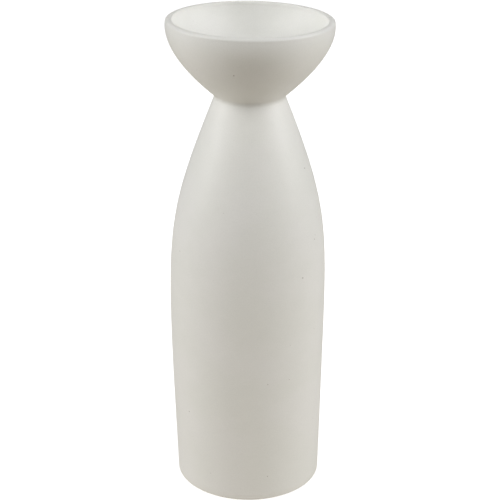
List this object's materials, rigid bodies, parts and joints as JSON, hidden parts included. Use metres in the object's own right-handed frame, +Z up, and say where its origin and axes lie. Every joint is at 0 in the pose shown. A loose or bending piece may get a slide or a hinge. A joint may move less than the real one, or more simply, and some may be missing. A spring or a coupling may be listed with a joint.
{
  "type": "bud vase",
  "caption": "Tall ceramic bottle vase with a flared bowl joined on at a pinched neck, a narrow throat for stems, a recessed foot and felt pads.",
  "frame": {"origin": "on the table under the vase's axis, at the level of the pads' undersides", "axes": "+Z up along the vase's axis, +X to the right seen from the front, which looks along +Y; the shape is the same all round"},
  "size_m": [0.1022, 0.1022, 0.305],
  "materials": {
    "bottle_glaze": "satin-matte off-white glaze outside and inside, bare clay on the foot ring",
    "bowl_glaze": "satin-matte off-white glaze outside and inside",
    "joint_slip": "fired slip under a thick line of the same glaze",
    "pad_felt": "pressed wool felt"
  },
  "bodies": {
    "root": {"bottle_body": "bottle_glaze", "top_bowl": "bowl_glaze", "neck_slip_joint": "joint_slip", "felt_pad_1": "pad_felt", "felt_pad_2": "pad_felt", "felt_pad_3": "pad_felt", "felt_pad_4": "pad_felt"}
  },
  "joints": []
}
